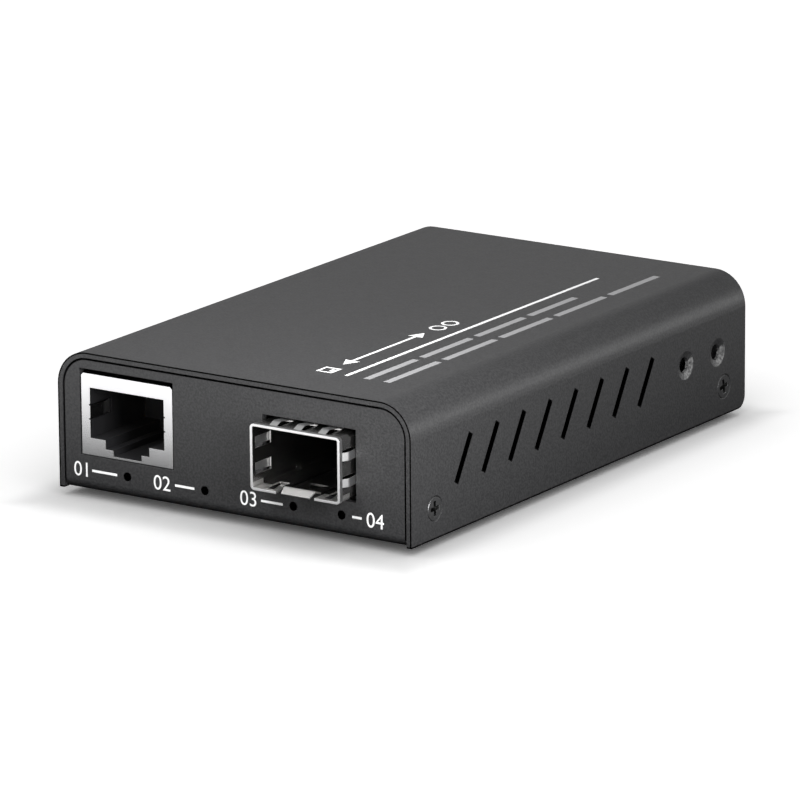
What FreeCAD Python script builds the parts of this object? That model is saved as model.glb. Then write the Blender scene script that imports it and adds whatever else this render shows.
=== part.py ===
import FreeCAD, Part
import math
import os

# Fibre media converter: a folded steel cover over a folded tray, with one circuit board that
# carries a shielded copper jack, a cage for a pluggable fibre module and a power inlet.
# Millimetres. +Z is up, the sockets face -Y, and the origin is on the resting surface below the
# middle of the whole part.

V = FreeCAD.Vector

# Case
case_width = 59.0
case_depth = 88.0
case_height = 20.0          # from the tray's underside to the top of the cover
cover_sheet = 0.8
cover_bend = 5.0            # outer radius of the cover's two long bends
skirt_rear_radius = 1.8     # lower rear corners of the cover's sides
tray_sheet = 1.0
tray_bend = 0.5             # inner radius of the tray's folds
panel_gap = 0.2             # slit between the cover and the end panels
panel_recess = 0.1          # end panels behind the cover's edges

# Rubber feet
foot_height = 1.2
foot_radius = 4.0
foot_inset = 10.5

# Side vents, the same on both sides
vent_count = 8
vent_pitch = 6.78
vent_first = 13.0           # first slot's middle, behind the cover's front edge
vent_length = 7.2
vent_width = 1.0
vent_end_cut = 0.3          # corner cuts that round the slots' ends
vent_tilt = 30.5            # degrees from upright, top leaning to the rear
vent_level = 9.8            # above the tray's underside

# Countersunk fixing holes, two on each side
fixing_rear = 7.8           # rear hole, in front of the cover's rear edge
fixing_spacing = 8.8
fixing_level = 9.8
fixing_radius = 1.15
fixing_sink_radius = 2.1
fixing_sink_depth = 0.38

# Cover screws and the lugs that take them
screw_head_radius = 1.85
screw_radius = 1.0
screw_length = 3.1
screw_level = 4.3
screw_inset = 5.9           # from the cover's front and rear edges
screw_hole_radius = 1.15
head_clearance = 0.05
thread_gap = 0.03           # between a screw and its tapped hole
lug_length = 8.0
lug_height = 7.4
lug_corner = 1.5
relief_width = 0.8
relief_depth = 2.4

# Circuit board and its standoffs
board_side_gap = 0.4        # to the tips of the cover screws
board_front_gap = 0.9       # behind the front panel
board_rear_gap = 1.4        # in front of the rear panel
board_thickness = 1.6
board_corner = 1.2
standoff_height = 2.7
standoff_across = 4.6       # over the flats of the hexagon
press_gap = 0.01
board_screw_radius = 1.25
board_screw_head = 2.3
board_screw_head_height = 1.4
board_screw_length = 4.2
board_hole_radius = 1.45
front_standoff = (12.65, 12.0)     # from the jack's middle, and behind the front edge
rear_standoff = (6.3, 18.0)        # from the right side, and in front of the rear edge

# Status lights under the board's front edge
jack_light_shifts = (0.0, 13.15)   # two lights, from the jack's middle
cage_light_shifts = (-2.7, 5.25)   # two lights, from the cage's middle
light_lens_width = 1.5
light_hole_radius = 0.62
light_width = 3.0
light_depth = 1.3
light_height = 1.26
light_gap = 0.35            # behind the front panel

# Shielded copper jack
jack_inset = 11.65          # from the left side to the jack's middle
jack_width = 15.5
jack_height = 11.7
jack_depth = 21.0
jack_sheet = 0.25
jack_bevel = 0.35
jack_recess = 0.1           # behind the front panel's face
jack_side_gap = 0.2         # to the panel's cut-out
jack_gap_above = 0.65
jack_gap_below = 0.13
mouth_width = 12.6
mouth_top = 9.7             # heights above the board
mouth_floor = 2.45
mouth_step_width = 7.45
mouth_step = 1.15
mouth_sill = 0.3            # strip that closes the latch way below
mouth_latch_width = 4.8
mouth_depth = 13.0
finger_bottom = 5.25        # the shield's side fingers inside the mouth, above the board
finger_height = 1.85
finger_length = 4.6
finger_crest = 2.8          # from the mouth's edge back to the crest
finger_bow = 0.35
finger_radius = 2.5
finger_slit = 0.2
tail_way = 0.6              # opening under the shield's back for the contacts
housing_gap = 0.05
shield_tab_width = 1.4
shield_tab_place = 8.2
tab_gap = 0.1
contact_count = 8
contact_pitch = 1.02
contact_width = 0.45
contact_sheet = 0.3
contact_front = 2.5         # the contacts' front bends, behind the jack's face
contact_hairpin = 0.3
contact_slope = 0.2         # fall for each millimetre towards the rear
contact_reach = 7.5
contact_channel = 0.35      # cut into the mouth's roof
contact_comb_gap = 0.3      # beside the outer contacts
contact_rear_room = 2.6     # from the contacts' drop to the jack's back
contact_tail = 3.3
insert_wall = 1.0           # between the mouth and the contact insert

# Module cage
cage_inset = 16.7           # from the right side to the cage's middle
cage_proud = 3.4            # in front of the cover's front edge
cage_length = 48.8
cage_inner_width = 14.0
cage_inner_height = 8.66
cage_sheet = 0.25
cage_corner = 0.25          # inner radius
cage_lift = 0.3             # rim above the board
cage_seam = 1.1             # joint of shell and floor, above the rim's underside
cut_side_gap = 0.32         # from the rim to the panel's cut-out
cut_end_gap = 0.43
pin_width = 0.9
pin_length = 3.6
pin_gap = 0.15
pin_places = (11.0, 25.0, 40.0)    # behind the rim

# Spring clip around the cage's rim
clip_sheet = 0.12
clip_collar = 0.7
spring_width = 1.2
spring_span = 4.5
spring_peak = 1.1           # crest, behind the collar
spring_lift = 0.47          # crest, outside the cage's wall
spring_crest_radius = 0.8
top_spring_pitch = 4.0
side_spring_pitch = 3.7
floor_spring_pitch = 9.4
window_margin = 0.25

# Latch tongue in the cage's floor
latch_gap_width = 6.3
latch_width = 5.1
latch_tip_width = 4.5
latch_setback = 0.1         # lip behind the rim's front
latch_lip_length = 1.1
latch_rise = 0.7            # crest of the lip above its front edge
latch_ramp = 1.6            # from the crest back to the floor
latch_bend = 0.1
latch_length = 14.0
latch_window_start = 3.4
latch_window_length = 2.6
latch_window_width = 3.0

# Module connector
connector_place = 39.0      # face, behind the rim
connector_width = 11.4
connector_depth = 7.0
connector_height = 5.2
card_slot_width = 9.4
card_slot_height = 1.3
card_slot_level = 2.9
card_slot_depth = 4.6
pin_row_count = 10
pin_row_pitch = 0.8
pin_strip_width = 0.35
pin_strip_sheet = 0.2
pin_strip_front = 0.8       # behind the connector's face
pin_row_drops = (0.5, 1.5)  # lower and upper rows, behind the connector
pin_tail = 0.8

# Power inlet at the rear
inlet_inset = 15.5          # from the right side to the inlet's middle
inlet_width = 9.0
inlet_height = 11.0
inlet_depth = 14.0
inlet_shoulder = 2.6
inlet_gap = 0.25
inlet_bore_radius = 3.1
inlet_bore_depth = 10.0
inlet_bore_level = 6.6      # above the board
inlet_pin_radius = 1.0
inlet_pin_setback = 0.8
inlet_tail_width = 2.0
inlet_tail_sheet = 0.4
inlet_tail_depth = 2.6      # below the board's top
inlet_spring_width = 2.4
inlet_spring_sheet = 0.3
inlet_spring_rise = 0.55    # into the bore
inlet_spring_length = 7.5
inlet_spring_crest = 5.2
inlet_spring_place = 3.0    # its board tail, from the housing's inner end
inlet_slot_depth = 1.2      # of the spring's channel below the bore
inlet_slot_gap = 0.05

# Parts on the board: places are from a side of the case and from its front or rear edge
transformer_back = 31.5
transformer_size = (12.6, 9.6, 5.6)
transformer_leads = 6       # on each long side
transformer_pitch = 1.27
converter_back = 50.0
converter_size = (10.0, 10.0, 0.9)
converter_inset = 14.5
memory_back = 56.5
memory_inset = 27.7
memory_size = (5.2, 4.0, 1.6)
memory_leads = 4            # on each long side
memory_pitch = 1.0
regulator_front = 17.5
regulator_inset = 28.5
regulator_size = (6.5, 3.5, 1.6)
regulator_leads = 2         # on each short side
regulator_pitch = 2.0
lead_width = 0.45
lead_sheet = 0.2
lead_reach = 1.1            # beyond the body
lead_foot = 0.6
lead_root = 0.1             # inside the body
shoulder_share = 0.4        # height of the leads' shoulders on the body
body_lift = 0.12            # chip body above the board
crystal_back = 50.0
crystal_inset = 27.5
crystal_size = (8.0, 3.8, 3.4)
inductor_front = 8.0
inductor_inset = 27.0
inductor_size = (7.0, 6.6, 3.0)
inductor_corner = 1.6
capacitor_inset = 19.5
capacitor_fronts = (9.5, 18.0)
capacitor_radius = 3.15
capacitor_height = 6.8
capacitor_base = 6.6
capacitor_base_height = 0.9

# Levels and faces that the pieces share
base_z = foot_height
top_z = base_z + case_height
front_y = -(case_depth - cage_proud) / 2
rear_y = front_y + case_depth
side_x = case_width / 2
cover_inner_x = side_x - cover_sheet
jack_x = -side_x + jack_inset
cage_x = side_x - cage_inset
inlet_x = side_x - inlet_inset
panel_front = front_y + panel_recess
panel_rear = rear_y - panel_recess
panel_inner_front = panel_front + tray_sheet
panel_inner_rear = panel_rear - tray_sheet
panel_half = cover_inner_x - panel_gap
panel_top = top_z - cover_sheet - panel_gap
floor_top = base_z + tray_sheet
board_under = floor_top + standoff_height
board_top = board_under + board_thickness
board_front = panel_inner_front + board_front_gap
board_rear = panel_inner_rear - board_rear_gap
board_half = side_x - screw_length - board_side_gap
light_places = [jack_x + shift for shift in jack_light_shifts]
light_places += [cage_x + shift for shift in cage_light_shifts]
standoff_places = (
    (jack_x + front_standoff[0], front_y + front_standoff[1]),
    (side_x - rear_standoff[0], rear_y - rear_standoff[1]),
)


def place(plane, u, v, w):
    """The point at u, v of a plane that stands w along its normal."""
    if plane == "front":
        return V(u, w, v)
    if plane == "side":
        return V(w, u, v)
    return V(u, v, w)


def outline(corners, plane, w=0.0):
    """A closed wire through (u, v, radius) corners, each rounded by its radius."""
    runs = []
    count = len(corners)
    for i in range(count):
        here = V(corners[i][0], corners[i][1], 0)
        radius = corners[i][2]
        if radius <= 0:
            runs.append((here, None, here))
            continue
        before = V(corners[i - 1][0], corners[i - 1][1], 0) - here
        after = V(corners[(i + 1) % count][0], corners[(i + 1) % count][1], 0) - here
        half = before.getAngle(after) / 2
        before.normalize()
        after.normalize()
        inward = before + after
        inward.normalize()
        centre = here + inward * (radius / math.sin(half))
        trim = radius / math.tan(half)
        runs.append((here + before * trim, centre - inward * radius, here + after * trim))
    edges = []
    for i in range(count):
        start, middle, end = [None if p is None else place(plane, p.x, p.y, w) for p in runs[i]]
        if middle is not None:
            edges.append(Part.Arc(start, middle, end).toShape())
        following = runs[(i + 1) % count][0]
        following = place(plane, following.x, following.y, w)
        if end.distanceToPoint(following) > 1e-6:
            edges.append(Part.LineSegment(end, following).toShape())
    return Part.Wire(Part.__sortEdges__(edges))


def extruded(corners, plane, low, high):
    """A solid with the rounded outline of the corners, from low to high across its plane."""
    face = Part.Face(outline(corners, plane, low))
    return face.extrude(place(plane, 0, 0, high - low))


def folded(path, thickness, plane, low, high):
    """A folded sheet: path is one face of it as (u, v, inner bend radius), the metal on its left.

    A bend of radius 0 is sharp on both faces, for strips too small for their bends to show.
    """
    near = []
    far = []
    for i, (u, v, radius) in enumerate(path):
        here = V(u, v, 0)
        ends = []
        if i > 0:
            ends.append((here - V(path[i - 1][0], path[i - 1][1], 0)).normalize())
        if i < len(path) - 1:
            ends.append((V(path[i + 1][0], path[i + 1][1], 0) - here).normalize())
        lefts = [V(-d.y, d.x, 0) for d in ends]
        if len(ends) == 1:
            shift = lefts[0] * thickness
            near.append((u, v, 0))
            far.append((u + shift.x, v + shift.y, 0))
            continue
        turn = ends[0].x * ends[1].y - ends[0].y * ends[1].x
        miter = lefts[0] + lefts[1]
        shift = miter * (thickness / (miter.dot(lefts[0])))
        wide = radius + thickness if radius > 0 else 0
        near.append((u, v, wide if turn > 0 else radius))
        far.append((u + shift.x, v + shift.y, radius if turn > 0 else wide))
    return extruded(near + far[::-1], plane, low, high)


def rectangle(u, v, width, height, radius=0.0):
    """Corners of a rectangle about u, v."""
    return [
        (u - width / 2, v - height / 2, radius),
        (u + width / 2, v - height / 2, radius),
        (u + width / 2, v + height / 2, radius),
        (u - width / 2, v + height / 2, radius),
    ]


def cut_rectangle(u, v, width, height, cut):
    """Corners of a rectangle about u, v with each corner cut off."""
    half_u = width / 2
    half_v = height / 2
    quarter = [(half_u - cut, -half_v), (half_u, cut - half_v)]
    right = quarter + [(a, -b) for a, b in quarter[::-1]]
    return [(u + a, v + b, 0) for a, b in right] + [(u - a, v - b, 0) for a, b in right]


def tilted(corners, u, v, angle):
    """The corners turned about u, v by an angle in degrees."""
    c = math.cos(math.radians(angle))
    s = math.sin(math.radians(angle))
    return [(u + (a - u) * c - (b - v) * s, v + (a - u) * s + (b - v) * c, r) for a, b, r in corners]


def rod(x, y, z, radius, length, direction=V(0, 0, 1)):
    """A cylinder from a point along a direction."""
    return Part.makeCylinder(radius, length, V(x, y, z), direction)


def mirrored(shape):
    """The shape on the other side of the case."""
    return shape.mirror(V(0, 0, 0), V(1, 0, 0))


def joined(shapes):
    """One solid from shapes that meet."""
    return shapes[0].multiFuse(shapes[1:]).removeSplitter()


def side_holes():
    """Cutting tools for everything pierced in the cover's right side."""
    inner = cover_inner_x - 1
    outer = side_x + 1
    tools = []
    for i in range(vent_count):
        y = front_y + vent_first + i * vent_pitch
        z = base_z + vent_level
        slot = tilted(cut_rectangle(y, z, vent_width, vent_length, vent_end_cut), y, z, -vent_tilt)
        tools.append(extruded(slot, "side", inner, outer))
    across = V(1, 0, 0)
    screws = (screw_hole_radius, screw_head_radius, cover_sheet)
    sunk = [(y, base_z + screw_level) + screws for y in screw_rows()]
    for i in range(2):
        y = rear_y - fixing_rear - i * fixing_spacing
        sunk.append((y, base_z + fixing_level, fixing_radius, fixing_sink_radius, fixing_sink_depth))
    for y, z, hole, mouth, depth in sunk:
        tools.append(rod(inner, y, z, hole, outer - inner, across))
        tools.append(Part.makeCone(hole, mouth, depth, V(side_x - depth, y, z), across))
    return tools


def screw_rows():
    """Where the cover screws stand along Y."""
    return (front_y + screw_inset, rear_y - screw_inset)


def make_cover():
    """One sheet folded over the top and both sides, with its vents and countersinks."""
    inner_bend = cover_bend - cover_sheet
    path = [
        (side_x, base_z, 0),
        (side_x, top_z, inner_bend),
        (-side_x, top_z, inner_bend),
        (-side_x, base_z, 0),
    ]
    sheet = folded(path, cover_sheet, "front", front_y, rear_y)
    skirt = [
        (front_y, base_z, 0),
        (rear_y, base_z, skirt_rear_radius),
        (rear_y, top_z + 1, 0),
        (front_y, top_z + 1, 0),
    ]
    sheet = sheet.common(extruded(skirt, "side", -side_x - 1, side_x + 1))
    tools = side_holes()
    return sheet.cut(tools + [mirrored(tool) for tool in tools])


def make_lug(y):
    """A tapped lug folded up from the tray's right edge, against the inside of the cover."""
    path = [
        (cover_inner_x - relief_depth, base_z, 0),
        (cover_inner_x, base_z, 0),
        (cover_inner_x, base_z + lug_height, 0),
    ]
    lug = folded(path, tray_sheet, "front", y - lug_length / 2, y + lug_length / 2)
    sides = [
        (y - lug_length / 2, base_z - 1, 0),
        (y + lug_length / 2, base_z - 1, 0),
        (y + lug_length / 2, base_z + lug_height - lug_corner, 0),
        (y + lug_length / 2 - lug_corner, base_z + lug_height, 0),
        (y - lug_length / 2 + lug_corner, base_z + lug_height, 0),
        (y - lug_length / 2, base_z + lug_height - lug_corner, 0),
    ]
    return lug.common(extruded(sides, "side", 0, side_x))


def lug_relief(y):
    """Slits beside a lug, which let it fold without tearing the floor."""
    slits = []
    for side in (-1, 1):
        middle = y + side * (lug_length + relief_width) / 2
        x = cover_inner_x - relief_depth / 2
        slit = rectangle(x, middle, relief_depth, relief_width)
        slits.append(extruded(slit, "plan", base_z - 1, floor_top + 1))
    return slits


def jack_cutout():
    """The front panel's hole for the copper jack."""
    corners = [
        (jack_x - jack_width / 2 - jack_side_gap, board_top - jack_gap_below, 0),
        (jack_x + jack_width / 2 + jack_side_gap, board_top - jack_gap_below, 0),
        (jack_x + jack_width / 2 + jack_side_gap, board_top + jack_height + jack_gap_above, 0),
        (jack_x - jack_width / 2 - jack_side_gap, board_top + jack_height + jack_gap_above, 0),
    ]
    return extruded(corners, "front", front_y - 1, panel_inner_front + 1)


def cage_cutout():
    """The front panel's hole for the module cage."""
    corners = rectangle(cage_x, cage_z(), rim_width() + 2 * cut_side_gap, rim_height() + 2 * cut_end_gap)
    return extruded(corners, "front", front_y - 1, panel_inner_front + 1)


def inlet_outline(gap):
    """Outline of the power inlet, grown by a gap."""
    half = inlet_width / 2 + gap
    top = board_top + inlet_height + gap
    shoulder = inlet_shoulder + gap
    return [
        (inlet_x - half, board_top, 0),
        (inlet_x + half, board_top, 0),
        (inlet_x + half, top, shoulder),
        (inlet_x - half, top, shoulder),
    ]


def make_tray():
    """Floor, front panel and rear panel folded from one sheet, with four lugs for the cover."""
    path = [
        (panel_front, panel_top, 0),
        (panel_front, base_z, tray_bend),
        (panel_rear, base_z, tray_bend),
        (panel_rear, panel_top, 0),
    ]
    sheet = folded(path, tray_sheet, "side", -panel_half, panel_half)
    corner = cover_bend - cover_sheet - panel_gap
    ends = [
        (-panel_half, base_z - 1, 0),
        (panel_half, base_z - 1, 0),
        (panel_half, panel_top, corner),
        (-panel_half, panel_top, corner),
    ]
    sheet = sheet.common(extruded(ends, "front", front_y - 1, rear_y + 1))
    reliefs = [slit for y in screw_rows() for slit in lug_relief(y)]
    sheet = sheet.cut(reliefs + [mirrored(slit) for slit in reliefs])
    lugs = [make_lug(y) for y in screw_rows()]
    sheet = joined([sheet] + lugs + [mirrored(lug) for lug in lugs])
    tools = [jack_cutout(), cage_cutout()]
    tools.append(extruded(inlet_outline(inlet_gap), "front", panel_inner_rear - 1, rear_y + 1))
    for x in light_places:
        tools.append(rod(x, front_y - 1, light_z(), light_hole_radius, tray_sheet + 2, V(0, 1, 0)))
    for y in screw_rows():
        tools.append(rod(-side_x, y, base_z + screw_level, screw_radius + thread_gap, case_width, V(1, 0, 0)))
    return sheet.cut(tools)


def make_cover_screws():
    """Four countersunk screws, flush with the cover's sides."""
    seat = screw_head_radius - head_clearance
    inward = V(-1, 0, 0)
    screws = []
    for y in screw_rows():
        z = base_z + screw_level
        head = Part.makeCone(seat, screw_radius, cover_sheet, V(side_x, y, z), inward)
        right = joined([head, rod(side_x, y, z, screw_radius, screw_length, inward)])
        screws += [right, mirrored(right)]
    return screws


def make_feet():
    """Four low rubber feet under the tray."""
    feet = []
    for x in (-side_x + foot_inset, side_x - foot_inset):
        for y in (front_y + foot_inset, rear_y - foot_inset):
            feet.append(rod(x, y, 0, foot_radius, foot_height))
    return feet


def make_standoffs():
    """Hexagonal tapped standoffs on the tray's floor."""
    standoffs = []
    reach = standoff_across / 2 / math.cos(math.pi / 6)
    turns = [i * math.pi / 3 for i in range(6)]
    for x, y in standoff_places:
        corners = [(x + reach * math.cos(turn), y + reach * math.sin(turn), 0) for turn in turns]
        body = extruded(corners, "plan", floor_top, board_under)
        bore = rod(x, y, floor_top - 1, board_screw_radius + thread_gap, standoff_height + 2)
        standoffs.append(body.cut(bore))
    return standoffs


def make_board_screws():
    """Cheese-head screws that hold the board on its standoffs."""
    screws = []
    for x, y in standoff_places:
        head = rod(x, y, board_top, board_screw_head, board_screw_head_height)
        shank = rod(x, y, board_top - board_screw_length, board_screw_radius, board_screw_length)
        screws.append(joined([head, shank]))
    return screws


def make_board():
    """The board, drilled for its screws and for the pins and tabs of what it carries."""
    middle = (board_front + board_rear) / 2
    corners = cut_rectangle(0, middle, 2 * board_half, board_rear - board_front, board_corner)
    board = extruded(corners, "plan", board_under, board_top)
    low = board_under - 1
    depth = board_thickness + 2
    tools = [rod(x, y, low, board_hole_radius, depth) for x, y in standoff_places]
    for side in (-1, 1):
        x = jack_x + side * (jack_width - jack_sheet) / 2
        y = jack_front() + shield_tab_place
        slot = rectangle(x, y, jack_sheet + 2 * tab_gap, shield_tab_width + 2 * tab_gap)
        tools.append(extruded(slot, "plan", low, low + depth))
        x = cage_x + side * (cage_inner_width + cage_sheet) / 2
        for y in pin_places:
            slot = rectangle(x, cage_front() + y, cage_sheet + 2 * tab_gap, pin_width + 2 * tab_gap)
            tools.append(extruded(slot, "plan", low, low + depth))
    tails = ((inlet_tail_width, inlet_tail_sheet), (inlet_spring_width, inlet_spring_sheet))
    for y, (width, sheet) in zip(inlet_tail_rows(), tails):
        slot = rectangle(inlet_x, y, width + 2 * tab_gap, sheet + 2 * tab_gap)
        tools.append(extruded(slot, "plan", low, low + depth))
    return board.cut(tools)


def light_z():
    """Height of the status lights' middle."""
    return board_under - light_height / 2


def make_light(x):
    """A side-looking light: a base with a narrower lens facing the panel."""
    face = panel_inner_front + light_gap
    wide = light_width / 2
    narrow = light_lens_width / 2
    step = face + light_depth / 2
    right = [(x + narrow / 2, face, 0), (x + narrow, face + light_depth / 4, 0), (x + narrow, step, 0)]
    right += [(x + wide, step, 0), (x + wide, face + light_depth, 0)]
    left = [(2 * x - u, v, radius) for u, v, radius in right[::-1]]
    return extruded(right + left, "plan", board_under - light_height, board_under)


def jack_front():
    """The jack shield's front face."""
    return panel_front + jack_recess


def mouth_corners(grow):
    """Outline of the plug mouth with its stepped latch way, above a narrow sill."""
    wide = mouth_width / 2 + grow
    step = mouth_step_width / 2 + grow
    latch = mouth_latch_width / 2 + grow
    z = board_top
    right = [
        (jack_x + latch, z + mouth_sill - grow, 0),
        (jack_x + latch, z + mouth_step - grow, 0),
        (jack_x + step, z + mouth_step - grow, 0),
        (jack_x + step, z + mouth_floor - grow, 0),
        (jack_x + wide, z + mouth_floor - grow, 0),
        (jack_x + wide, z + mouth_top + grow, 0),
    ]
    left = [(2 * jack_x - u, v, radius) for u, v, radius in right[::-1]]
    return right + left


def shell_corners(inset):
    """Outline of the jack's shield, or of what fits inside it."""
    half = jack_width / 2 - inset
    top = board_top + jack_height - inset
    bevel = jack_bevel
    return [
        (jack_x - half, board_top, 0),
        (jack_x + half, board_top, 0),
        (jack_x + half, top - bevel, 0),
        (jack_x + half - bevel, top, 0),
        (jack_x - half + bevel, top, 0),
        (jack_x - half, top - bevel, 0),
    ]


def jack_finger():
    """A spring finger folded back from the right edge of the mouth."""
    x = jack_x + mouth_width / 2
    y = jack_front()
    path = [
        (x, y + finger_length, 0),
        (x - finger_bow, y + finger_crest, finger_radius),
        (x, y, 0),
    ]
    low = board_top + finger_bottom
    return folded(path, jack_sheet, "plan", low, low + finger_height)


def across_jack(shape):
    """The shape on the other side of the jack's middle."""
    return shape.mirror(V(jack_x, 0, 0), V(1, 0, 0))


def make_jack_shield():
    """The jack's plated shield: face, roof, sides and back, with side fingers and board tabs."""
    front = jack_front()
    rear = front + jack_depth
    shell = extruded(shell_corners(0), "front", front, rear)
    hollow = extruded(shell_corners(jack_sheet), "front", front + jack_sheet, rear - jack_sheet)
    tools = [hollow, extruded(mouth_corners(0), "front", front - 1, front + jack_sheet)]
    edge = jack_x + mouth_width / 2
    for z in (finger_bottom - finger_slit / 2, finger_bottom + finger_height + finger_slit / 2):
        slit = rectangle(edge, board_top + z, 2 * finger_slit, finger_slit)
        slit = extruded(slit, "front", front - 1, front + jack_sheet)
        tools += [slit, across_jack(slit)]
    way = rectangle(jack_x, board_top, contact_span() + 2 * contact_comb_gap, 2 * tail_way)
    tools.append(extruded(way, "front", rear - jack_sheet, rear + 1))
    finger = jack_finger()
    side = jack_x + (jack_width - jack_sheet) / 2
    tab = rectangle(side, front + shield_tab_place, jack_sheet, shield_tab_width)
    tab = extruded(tab, "plan", board_under - jack_sheet, board_top + jack_sheet)
    return joined([shell.cut(tools), finger, across_jack(finger), tab, across_jack(tab)])


def contact_span():
    """Width over all the jack's contacts."""
    return (contact_count - 1) * contact_pitch + contact_width


def contact_roof():
    """Underside of the contacts where they lie along the mouth's roof."""
    return board_top + mouth_top + contact_channel - contact_sheet


def make_jack_housing():
    """The black moulding inside the shield, with the plug mouth and contact channel."""
    front = jack_front() + jack_sheet
    rear = jack_front() + jack_depth - jack_sheet - housing_gap
    block = extruded(shell_corners(jack_sheet + housing_gap), "front", front, rear)
    end = jack_front() + mouth_depth
    tools = [extruded(mouth_corners(0), "front", front - 1, end)]
    width = contact_span() + 2 * contact_comb_gap
    comb_front = jack_front() + contact_front - contact_sheet - contact_comb_gap
    roof = board_top + mouth_top + contact_channel
    mouth_roof = board_top + mouth_top
    pocket = end + insert_wall
    comb = [
        (comb_front, roof, 0),
        (comb_front, mouth_roof - 1, 0),
        (end, mouth_roof - 1, 0),
        (end, mouth_roof, 0),
        (pocket, mouth_roof, 0),
        (pocket, board_top - 1, 0),
        (rear + 1, board_top - 1, 0),
        (rear + 1, roof, 0),
    ]
    tools.append(extruded(comb, "side", jack_x - width / 2, jack_x + width / 2))
    depth = jack_sheet + finger_slit
    low = board_top + finger_bottom - finger_slit
    edge = jack_x + mouth_width / 2
    recess = rectangle(edge, front + finger_length / 2, 2 * depth, finger_length + 2 * finger_slit)
    recess = extruded(recess, "plan", low, low + finger_height + 2 * finger_slit)
    tools += [recess, across_jack(recess)]
    return block.cut(tools)


def make_jack_insert():
    """The block behind the mouth that the contacts are wrapped round."""
    width = contact_span() + 2 * contact_comb_gap - 2 * housing_gap
    front = jack_front() + mouth_depth + insert_wall + housing_gap
    rear = contact_drop_y()
    roof = contact_roof()
    corners = [(front, board_top, 0), (rear, board_top, 0), (rear, roof, 0), (front, roof, 0)]
    return extruded(corners, "side", jack_x - width / 2, jack_x + width / 2)


def contact_drop_y():
    """The back of the contact insert, where the contacts turn down."""
    return jack_front() + jack_depth - contact_rear_room


def make_jack_contacts():
    """Gilt spring wires: a sloping plug contact, a hairpin, a run over the insert and a board tail."""
    y = jack_front() + contact_front
    roof = contact_roof()
    low = roof - contact_hairpin
    path = [
        (y + contact_reach, low - contact_slope * contact_reach, 0),
        (y, low, 0),
        (y, roof, 0),
        (contact_drop_y(), roof, 0),
        (contact_drop_y(), board_top, 0),
        (contact_drop_y() + contact_tail, board_top, 0),
    ]
    first = jack_x - contact_span() / 2
    lefts = [first + i * contact_pitch for i in range(contact_count)]
    return [folded(path, contact_sheet, "side", x, x + contact_width) for x in lefts]


def rim_width():
    """Width of the cage over its spring clip."""
    return cage_inner_width + 2 * (cage_sheet + clip_sheet)


def rim_height():
    """Height of the cage over its spring clip."""
    return cage_inner_height + 2 * (cage_sheet + clip_sheet)


def cage_z():
    """Height of the cage's middle."""
    return board_top + cage_lift + rim_height() / 2


def cage_front():
    """The rim's front face."""
    return front_y - cage_proud


def cage_outline(grow):
    """Rounded outline of the cage's inside, grown outwards."""
    width = cage_inner_width + 2 * grow
    height = cage_inner_height + 2 * grow
    return rectangle(cage_x, cage_z(), width, height, cage_corner + grow)


def across_cage(shape):
    """The shape on the other side of the cage's middle."""
    return shape.mirror(V(cage_x, 0, 0), V(1, 0, 0))


def round_cage(shape, quarter_turns):
    """The shape turned about the cage's long axis."""
    shape = shape.copy()
    shape.rotate(V(cage_x, 0, cage_z()), V(0, 1, 0), 90 * quarter_turns)
    return shape


def spring_places():
    """Each spring finger as quarter turns from the top, shift along its side and wall offset."""
    wide = cage_inner_width / 2 + cage_sheet
    tall = cage_inner_height / 2 + cage_sheet
    springs = [(0, shift * top_spring_pitch, tall) for shift in (-1, 0, 1)]
    springs += [(turns, shift * side_spring_pitch, wide) for turns in (1, 3) for shift in (-0.5, 0.5)]
    springs += [(2, shift * floor_spring_pitch, tall) for shift in (-0.5, 0.5)]
    return springs


def collar_end():
    """Rear edge of the spring clip's collar, where the fingers start."""
    return cage_front() + clip_collar


def spring_windows():
    """Openings in the cage's wall that the spring fingers bow over."""
    windows = []
    width = spring_width + 2 * window_margin
    for turns, shift, wall in spring_places():
        middle = collar_end() + (spring_span - clip_collar) / 2
        corners = rectangle(cage_x + shift, middle, width, spring_span - clip_collar)
        low = cage_z() + wall - 2 * cage_sheet
        windows.append(round_cage(extruded(corners, "plan", low, low + 3 * cage_sheet), turns))
    return windows


def cage_ring():
    """The cage's walls before its shell and floor are parted."""
    front = cage_front() + clip_sheet
    rear = cage_front() + cage_length
    ring = extruded(cage_outline(cage_sheet), "front", front, rear)
    return ring.cut([extruded(cage_outline(0), "front", front, rear)] + spring_windows())


def cage_half(above):
    """A block that takes in the cage's shell, above the seam, or its floor."""
    seam = cage_z() - rim_height() / 2 + cage_seam
    low, high = (seam, seam + 2 * rim_height()) if above else (seam - rim_height(), seam)
    corners = rectangle(cage_x, (low + high) / 2, 2 * rim_width(), high - low)
    return extruded(corners, "front", cage_front(), cage_front() + cage_length)


def cage_pins(grow):
    """Press-fit pins of the shell's sides, or the notches they need."""
    top = cage_z() - rim_height() / 2 + cage_seam + cage_sheet
    pins = []
    for y in pin_places:
        x = cage_x + (cage_inner_width + cage_sheet) / 2
        thick = cage_sheet + (2 * (cage_corner + grow) if grow else 0)
        pin = rectangle(x, cage_front() + y, thick, pin_width + 2 * grow)
        pin = extruded(pin, "plan", board_top - pin_length, top)
        pins += [pin, across_cage(pin)]
    return pins


def make_cage_shell():
    """The cage's roof, sides and back in one folded sheet, with its press-fit pins."""
    rear = cage_front() + cage_length
    back = extruded(cage_outline(cage_sheet), "front", rear - cage_sheet, rear)
    shell = joined([cage_ring(), back]).common(cage_half(True))
    return joined([shell] + cage_pins(0))


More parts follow.
